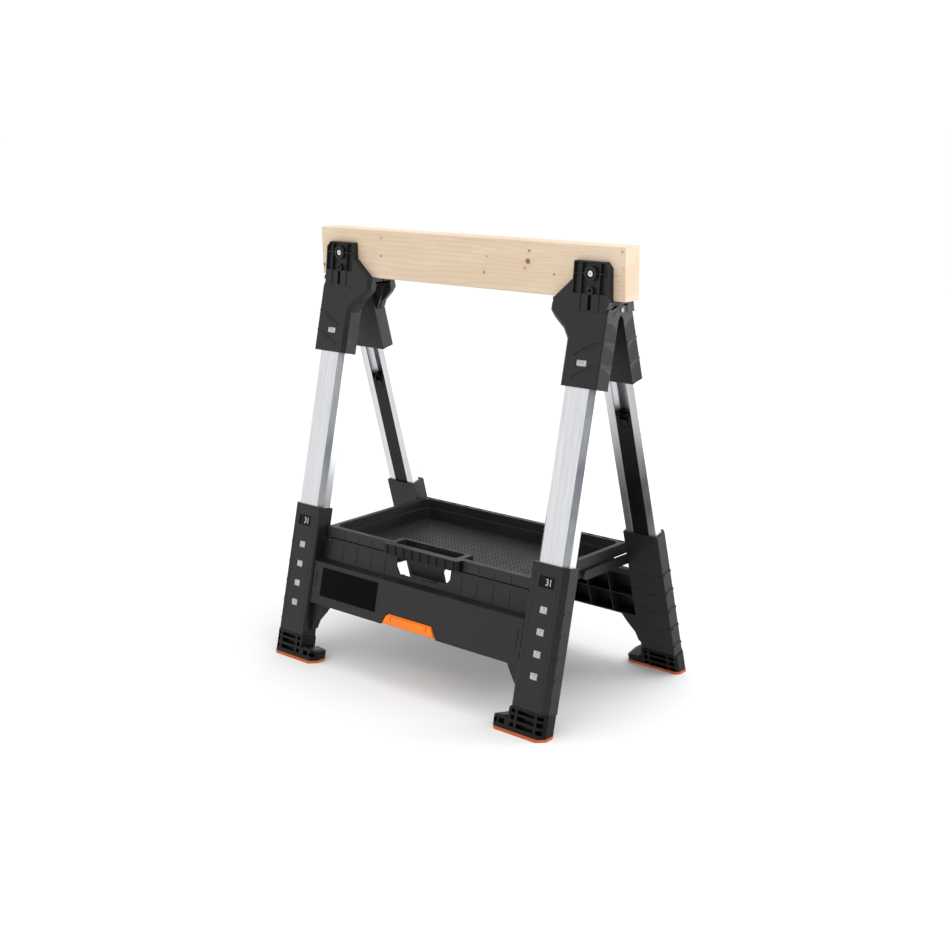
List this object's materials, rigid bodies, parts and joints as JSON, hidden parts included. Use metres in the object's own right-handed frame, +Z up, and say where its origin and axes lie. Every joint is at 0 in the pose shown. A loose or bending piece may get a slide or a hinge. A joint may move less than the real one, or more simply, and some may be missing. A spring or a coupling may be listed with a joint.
{
  "type": "folding sawhorse",
  "caption": "Folding sawhorse with telescoping channel legs, a timber beam held on edge, a fold-up tray with a grip, a pull latch and non-slip feet.",
  "frame": {"origin": "on the floor, midway between the four feet", "axes": "+Z up, +X along the beam, -Y towards the front frame with the latch and the badge"},
  "size_m": [0.72, 0.432, 0.801],
  "materials": {
    "charcoal_plastic": "fine moulded texture",
    "black_plastic": "smooth satin",
    "aluminium": "satin extruded",
    "pine": "planed softwood",
    "orange_plastic": "satin",
    "orange_sole": "matt",
    "badge_black": "printed label",
    "scale_label": "printed label",
    "steel": "zinc plated"
  },
  "bodies": {
    "front_frame": {"front_panel": "charcoal_plastic", "badge_plate": "badge_black", "front_scale_plates": "scale_label", "front_scale_strips": "charcoal_plastic", "latch_pin": "steel", "tray_pins": "steel", "front_leg_left": "charcoal_plastic", "front_leg_right": "charcoal_plastic", "front_foot_left": "charcoal_plastic", "front_foot_right": "charcoal_plastic", "front_pad_left": "orange_sole", "front_pad_right": "orange_sole"},
    "front_upper": {"beam": "pine", "clamp_bolts": "steel", "hinge_pins": "steel", "front_tube_left": "aluminium", "front_tube_right": "aluminium", "front_runner_left": "black_plastic", "front_runner_right": "black_plastic", "front_bracket_left": "charcoal_plastic", "front_bracket_right": "charcoal_plastic"},
    "rear_upper": {"rear_tube_left": "aluminium", "rear_tube_right": "aluminium", "rear_runner_left": "black_plastic", "rear_runner_right": "black_plastic", "rear_bracket_left": "charcoal_plastic", "rear_bracket_right": "charcoal_plastic"},
    "rear_frame": {"rear_panel": "charcoal_plastic", "rear_scale_plates": "scale_label", "rear_scale_strips": "charcoal_plastic", "latch_keeper": "charcoal_plastic", "link_pins": "steel", "rear_leg_left": "charcoal_plastic", "rear_leg_right": "charcoal_plastic", "rear_foot_left": "charcoal_plastic", "rear_foot_right": "charcoal_plastic", "rear_pad_left": "orange_sole", "rear_pad_right": "orange_sole"},
    "tray_body": {"tray": "charcoal_plastic", "tray_handle": "charcoal_plastic", "tray_guard": "charcoal_plastic"},
    "tray_link_left": {"tray_link_left": "charcoal_plastic"},
    "tray_link_right": {"tray_link_right": "charcoal_plastic"},
    "latch": {"latch": "orange_plastic"},
    "front_lock_tab_left": {"front_lock_tab_left": "black_plastic"},
    "front_lock_tab_right": {"front_lock_tab_right": "black_plastic"},
    "rear_lock_tab_left": {"rear_lock_tab_left": "black_plastic"},
    "rear_lock_tab_right": {"rear_lock_tab_right": "black_plastic"}
  },
  "joints": [
    {"name": "front_height", "type": "slide", "parent": "front_frame", "child": "front_upper", "axis": [0, 0.2419, 0.9703], "range_m": [-0.15, 0]},
    {"name": "fold", "type": "hinge", "parent": "front_upper", "child": "rear_upper", "pos_m": [0, 0, 0.696], "axis": [-1, 0, 0], "range_deg": [0, 28]},
    {"name": "rear_height", "type": "slide", "parent": "rear_upper", "child": "rear_frame", "axis": [0, 0.2419, -0.9703], "range_m": [-0.15, 0]},
    {"name": "tray_fold", "type": "hinge", "parent": "front_frame", "child": "tray_body", "pos_m": [0, -0.13, 0.226], "axis": [1, 0, 0], "range_deg": [0, 76]},
    {"name": "tray_link_fold_left", "type": "hinge", "parent": "rear_frame", "child": "tray_link_left", "pos_m": [-0.258, 0.132, 0.221], "axis": [-1, 0, 0], "range_deg": [0, 76]},
    {"name": "tray_link_fold_right", "type": "hinge", "parent": "rear_frame", "child": "tray_link_right", "pos_m": [0.258, 0.132, 0.221], "axis": [-1, 0, 0], "range_deg": [0, 76]},
    {"name": "latch_pull", "type": "hinge", "parent": "front_frame", "child": "latch", "pos_m": [0, -0.16796, 0.12157], "axis": [-1, 0, 0], "range_deg": [0, 9], "stiffness_Nm_per_rad": 0.4, "springref_deg": -5.73},
    {"name": "front_lock_pull_left", "type": "slide", "parent": "front_upper", "child": "front_lock_tab_left", "axis": [0, 0.2419, 0.9703], "range_m": [0, 0.004], "stiffness_N_per_m": 300, "springref_m": -0.002},
    {"name": "front_lock_pull_right", "type": "slide", "parent": "front_upper", "child": "front_lock_tab_right", "axis": [0, 0.2419, 0.9703], "range_m": [0, 0.004], "stiffness_N_per_m": 300, "springref_m": -0.002},
    {"name": "rear_lock_pull_left", "type": "slide", "parent": "rear_upper", "child": "rear_lock_tab_left", "axis": [0, -0.2419, 0.9703], "range_m": [0, 0.004], "stiffness_N_per_m": 300, "springref_m": -0.002},
    {"name": "rear_lock_pull_right", "type": "slide", "parent": "rear_upper", "child": "rear_lock_tab_right", "axis": [0, -0.2419, 0.9703], "range_m": [0, 0.004], "stiffness_N_per_m": 300, "springref_m": -0.002}
  ],
  "couplings": [
    {"joint": "rear_height", "follows": "front_height", "ratio": 1},
    {"joint": "tray_fold", "follows": "fold", "ratio": 2.714},
    {"joint": "tray_link_fold_left", "follows": "fold", "ratio": 2.714},
    {"joint": "tray_link_fold_right", "follows": "fold", "ratio": 2.714}
  ]
}
